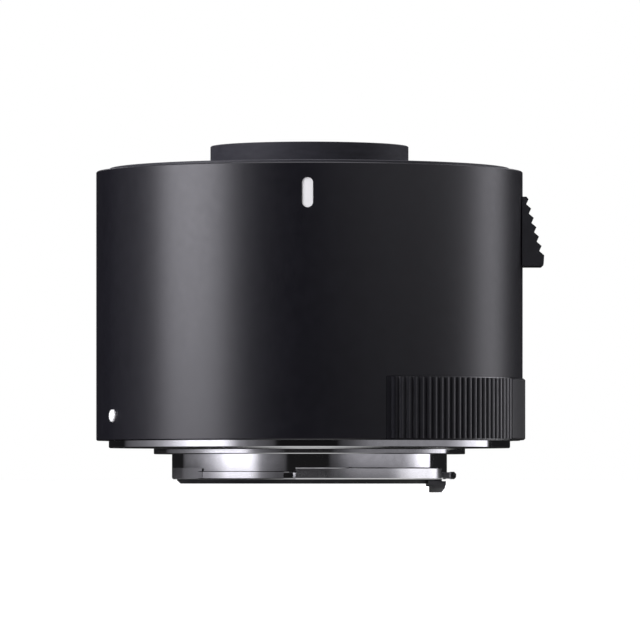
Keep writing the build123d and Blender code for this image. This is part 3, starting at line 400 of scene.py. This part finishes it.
def stop_pin_steel():
    """Dull grey pin with a nearly black outer end and a light collar, whose near white is partly
    its own tone and partly a painted highlight.
    """
    material, tree, shader = new_material("stop_pin_steel")
    x, y, _ = own_place(tree)
    radius = radius_at(tree, x, y)
    shade = tint(tree, grain(tree, 500.0, seed=3.1), (0.27, 0.27, 0.28), (0.34, 0.34, 0.35))
    # The collar is near white, partly its own tone and partly a painted highlight for its shine
    shade = layers(tree, shade,
                   (within(tree, radius, *COLLAR), (0.88, 0.88, 0.90)),
                   (above(tree, radius, COLLAR[1]), (0.010, 0.010, 0.012)))
    tree.links.new(shade, shader.inputs["Base Color"])
    gloss = span(tree, grain(tree, 2500.0, seed=5.7), 0.34, 0.42)
    tree.links.new(gloss, shader.inputs["Roughness"])
    bump(tree, shader, grain(tree, 5000.0, seed=1.9, detail=2.0), 0.4e-6)
    return material


# Bearings in degrees between which the grip has ribs
RIBS = (22.9, 157.45)


def grip_rubber():
    """Black rubber, a little glossy on the ribs and dull on the plain strips at both ends. The
    ribs' colour carries a painted sheen that grows towards the right.
    """
    material, tree, shader = new_material("grip_rubber")
    x, y, _ = own_place(tree)
    bearing = bearing_at(tree, x, y)
    first_rib, last_rib = (math.radians(degrees) for degrees in RIBS)
    dull = either(tree, below(tree, bearing, first_rib), above(tree, bearing, last_rib))

    grains = grain(tree, COLOUR_SCALE, COLOUR_SEED)
    # Painted sheen: the ribs are lighter from 45 degrees on and much lighter from 70 to 90
    # degrees, where the light at the right falls
    ribs = layers(
        tree, tint(tree, grains, (0.018, 0.018, 0.021), (0.023, 0.023, 0.0265)),
        (over_bearings(tree, bearing, 0.0, 1.0, 45, 64), (0.029, 0.029, 0.0315)),
        (over_bearings(tree, bearing, 0.0, 1.0, 70, 90), (0.068, 0.070, 0.068)))
    strip = tint(tree, grains, (0.015, 0.015, 0.0175), (0.019, 0.019, 0.022))
    tree.links.new(choose_between(tree, dull, ribs, strip), shader.inputs["Base Color"])

    gloss = span(tree, grain(tree, GLOSS_SCALE, GLOSS_SEED), 0.28, 0.31)
    tree.links.new(add_up(tree, gloss, (dull, 0.5)), shader.inputs["Roughness"])
    shader.inputs["IOR"].default_value = 1.8
    # The strips and the bevel along the top hardly shine
    lit = product(tree, over_bearings(tree, bearing, 0.13, 0.85, 32, 62),
                  add_up(tree, 1.0, (dull, -0.95)), upward(tree, 1.0, 0.0))
    tree.links.new(lit, shader.inputs["Specular IOR Level"])
    bump(tree, shader, grain(tree, 2500.0, BUMP_SEED, detail=2.0), 0.3e-6)
    return material


def coated_glass():
    """Glass whose coating turns the reflection green, with faint dust in the roughness."""
    material, tree, shader = new_material("coated_glass")
    shader.inputs["Transmission Weight"].default_value = 1.0
    shader.inputs["IOR"].default_value = 1.55
    shader.inputs["Base Color"].default_value = (0.93, 0.97, 0.95, 1)
    shader.inputs["Specular Tint"].default_value = (0.55, 0.85, 0.75, 1)
    dust = span(tree, grain(tree, 800.0, seed=5.2), 0.0, 0.02)
    tree.links.new(dust, shader.inputs["Roughness"])
    return material


finishes = {name: plain_finish(name, **look) for name, look in PLAIN_FINISHES.items()}
for name in ("barrel_paint", "ring_black"):
    dull_bevels(finishes[name])
finishes["mount_chrome"] = mount_chrome()
finishes["grip_rubber"] = grip_rubber()
finishes["coated_glass"] = coated_glass()
finishes["stop_pin_steel"] = stop_pin_steel()

# Each piece has the finish of its slot in the record, apart from four with one of their own
finish_of = {row["node"]: row["material_slot"] for row in frame["record"]["subparts"]}
finish_of.update({
    "front_rim_ring": "ring_black", "rear_cover_ring": "cover_black",
    "rear_contact_block": "cover_black", "bayonet_stop_pin": "stop_pin_steel",
})
for name, piece in nodes.items():
    if not piece.material_slots:
        piece.data.materials.append(None)
    for place in piece.material_slots:
        place.link = "OBJECT"
        place.material = finishes[finish_of[name]]


# Each spring of a joint gets a mesh of its own

for joint in frame["record"]["behaviour"]["joints"]:
    for spring in joint["deforming_nodes"]:
        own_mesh(nodes[spring["node"]])


# Camera, level and at the height of the bayonet's lower end. The shift moves the object down in
# the picture and a little to the left.

CAMERA_DISTANCE = 1.05
CAMERA_HEIGHT = -5.1 * MM
PICTURE_WIDTH_PX = 640
SHIFT_PX = (10.55, 159.0)

camera_data = bpy.data.cameras.new("camera")
camera = bpy.data.objects.new("camera", camera_data)
bpy.context.scene.collection.objects.link(camera)
camera.location = (0, -CAMERA_DISTANCE, CAMERA_HEIGHT)
camera.rotation_euler = (math.pi / 2, 0, 0)
camera_data.lens = 357.1
camera_data.sensor_width = 36.0
camera_data.shift_x = SHIFT_PX[0] / PICTURE_WIDTH_PX
camera_data.shift_y = SHIFT_PX[1] / PICTURE_WIDTH_PX
camera_data.clip_start = 0.05
camera_data.clip_end = 60.0
bpy.context.scene.camera = camera
bpy.context.scene.view_settings.view_transform = "Standard"


# Studio: a pale floor, soft boxes at the left, the right, the front and the back, a soft light
# above and a dim room with two bright panels

def glow(tree, strength):
    node = tree.nodes.new("ShaderNodeEmission")
    tree.links.new(strength, node.inputs["Strength"])
    return node.outputs["Emission"]


def floor_material():
    """Pale for the camera, grey for other surfaces, and in reflections lit in two places."""
    material, tree, shader = new_material("studio_floor")
    rays = tree.nodes.new("ShaderNodeLightPath").outputs
    pale = tint(tree, grain(tree, 30.0, seed=8.0), (0.86, 0.86, 0.86), (0.88, 0.88, 0.88))
    colour = choose_between(tree, rays["Is Camera Ray"], (0.25, 0.25, 0.25), pale)
    tree.links.new(colour, shader.inputs["Base Color"])
    shader.inputs["Roughness"].default_value = 0.9
    shader.inputs["Specular IOR Level"].default_value = 0.1
    lit = tree.nodes.new("ShaderNodeAddShader")
    tree.links.new(shader.outputs["BSDF"], lit.inputs[0])
    tree.links.new(glow(tree, product(tree, rays["Is Camera Ray"], 0.75)), lit.inputs[1])

    # In reflections a strip of floor right under the object is bright and the rest is dim.
    # Under the bayonet the strip is dimmer and takes in the whole right half.
    x, y, _ = own_place(tree)
    radius, bearing = radius_at(tree, x, y), bearing_at(tree, x, y)
    near = span(tree, radius, 1.0, 0.0, 46 * MM, 56 * MM)
    level = span(tree, radius, 0.55, 0.88, 24.6 * MM, 25.6 * MM)
    strip = span(tree, reckon(tree, "ABSOLUTE", x), 1.0, 0.02, 4 * MM, 16 * MM)
    right_part = span(tree, x, 0.15, 1.0, -9 * MM, -2 * MM)
    inside = below(tree, radius, 25.3 * MM)
    strip = add_up(tree, strip, (inside, reckon(tree, "SUBTRACT", right_part, strip)))
    # A wider patch at the right and behind lights the lower half of the casing
    patch = product(tree, over_bearings(tree, bearing, 0.0, 1.5, 88, 100),
                    over_bearings(tree, bearing, 1.0, 0.0, 112, 122),
                    span(tree, radius, 0.0, 1.0, 60 * MM, 90 * MM),
                    span(tree, radius, 1.0, 0.0, 300 * MM, 600 * MM))
    dim = reckon(tree, "ADD", patch, 0.012)
    reflected = glow(tree, add_up(tree, dim, (product(tree, near, level), strip)))

    choose = tree.nodes.new("ShaderNodeMixShader")
    tree.links.new(rays["Is Glossy Ray"], choose.inputs["Fac"])
    tree.links.new(lit.outputs["Shader"], choose.inputs[1])
    tree.links.new(reflected, choose.inputs[2])
    tree.links.new(choose.outputs["Shader"], tree.nodes["Material Output"].inputs["Surface"])
    return material


FLOOR_SIZE = 12.0
FLOOR_GAP = 0.05 * MM

bpy.ops.mesh.primitive_plane_add(
    size=FLOOR_SIZE, location=(0, 0, cad_bounds[0][2] - FLOOR_GAP))
floor = bpy.context.active_object
floor.name = "studio_floor"
floor.data.materials.append(floor_material())

# The white of the lamps and of the room's panels
LIGHT_COLOUR = (0.985, 0.967, 1.045)


def area_light(name, width, height, strength, place, aim=Vector((0, 0, 0))):
    light = bpy.data.lights.new(name, "AREA")
    light.shape = "RECTANGLE"
    light.size, light.size_y = width, height
    light.energy = strength * width * height * math.pi
    light.color = LIGHT_COLOUR
    lamp = bpy.data.objects.new(name, light)
    bpy.context.scene.collection.objects.link(lamp)
    lamp.location = place
    lamp.rotation_euler = (aim - place).to_track_quat("-Z", "Y").to_euler()


def soft_box(name, bearing, distance, spread, foot, height, strength):
    """An upright light that faces the axis from a bearing and looks spread degrees wide."""
    turn = math.radians(bearing)
    middle = foot + height / 2
    width = 2 * distance * math.tan(math.radians(spread / 2))
    place = Vector((math.sin(turn) * distance, -math.cos(turn) * distance, middle))
    area_light(name, width, height, strength, place, Vector((0, 0, middle)))


soft_box("soft_box_left", bearing=-63.3, distance=0.45, spread=36.6,
         foot=0.012, height=0.55, strength=6.35)
soft_box("soft_box_right", bearing=115.0, distance=3.0, spread=27.0,
         foot=0.13, height=1.8, strength=2.0)
soft_box("soft_box_front", bearing=48.0, distance=0.35, spread=84.0,
         foot=0.058, height=0.35, strength=0.53)
area_light("soft_box_back", width=1.6, height=0.8, strength=2.4, place=Vector((0.1, 1.0, 0.75)))
area_light("soft_box_top", width=0.8, height=0.8, strength=1.8, place=Vector((0, -0.05, 1.2)))


# The room: how bright it is at each bearing in degrees, with a panel at the left, one at the
# right and a little behind, and darkness in front and at the back

ROOM = (
    (-133, 0.012), (-130, 0.10), (-127, 0.142), (-108, 0.27), (-100, 0.41), (-93, 0.60),
    (-87, 0.87), (-81, 1.20), (-76, 1.65), (-72, 2.05), (-52, 2.05), (-48, 1.65), (-45, 1.12),
    (-42.5, 0.64), (-40, 0.40), (-35, 0.25), (-30, 0.185), (-20.5, 0.095), (-18, 0.010),
    (15.5, 0.010), (18, 0.07), (24, 0.125), (29, 0.22), (35, 0.32), (44, 0.385), (84, 0.40),
    (88, 0.48), (92, 0.62), (97, 0.86), (102, 1.38), (119.3, 2.3), (121.7, 0.014),
)
CEILING = (0.40, 0.40, 0.41)
WHITE = (1.0, 1.0, 1.0)
# The strength of the background, by which the colours in its tree are divided to stay under 1
ROOM_STRENGTH = 6.0


def room_colour(colour, level=1.0):
    return tuple(level * part / ROOM_STRENGTH for part in colour)


world = bpy.data.worlds.new("studio")
bpy.context.scene.world = world
world.use_nodes = True
tree = world.node_tree
x, y, z = xyz(tree, tree.nodes.new("ShaderNodeTexCoord").outputs["Generated"])

ramp = tree.nodes.new("ShaderNodeValToRGB")
elements = ramp.color_ramp.elements
for number, (bearing, level) in enumerate(ROOM):
    share = (bearing + 180) / 360
    if number < 2:
        element = elements[number]
        element.position = share
    else:
        element = elements.new(share)
    element.color = (*room_colour(LIGHT_COLOUR, level), 1)
around = span(tree, bearing_at(tree, x, y), 0.0, 1.0, -math.pi, math.pi)
tree.links.new(around, ramp.inputs["Fac"])
overhead = span(tree, z, 0.0, 1.0, 0.45, 0.80, "SMOOTHSTEP")
room = choose_between(tree, overhead, ramp.outputs["Color"], room_colour(CEILING))

# The camera and the glass see a plain white background, and metal and paint see the room
rays = tree.nodes.new("ShaderNodeLightPath").outputs
plain = either(tree, rays["Is Camera Ray"], rays["Is Transmission Ray"])
backdrop = tree.nodes["Background"]
tree.links.new(choose_between(tree, plain, room, room_colour(WHITE)), backdrop.inputs["Color"])
backdrop.inputs["Strength"].default_value = ROOM_STRENGTH
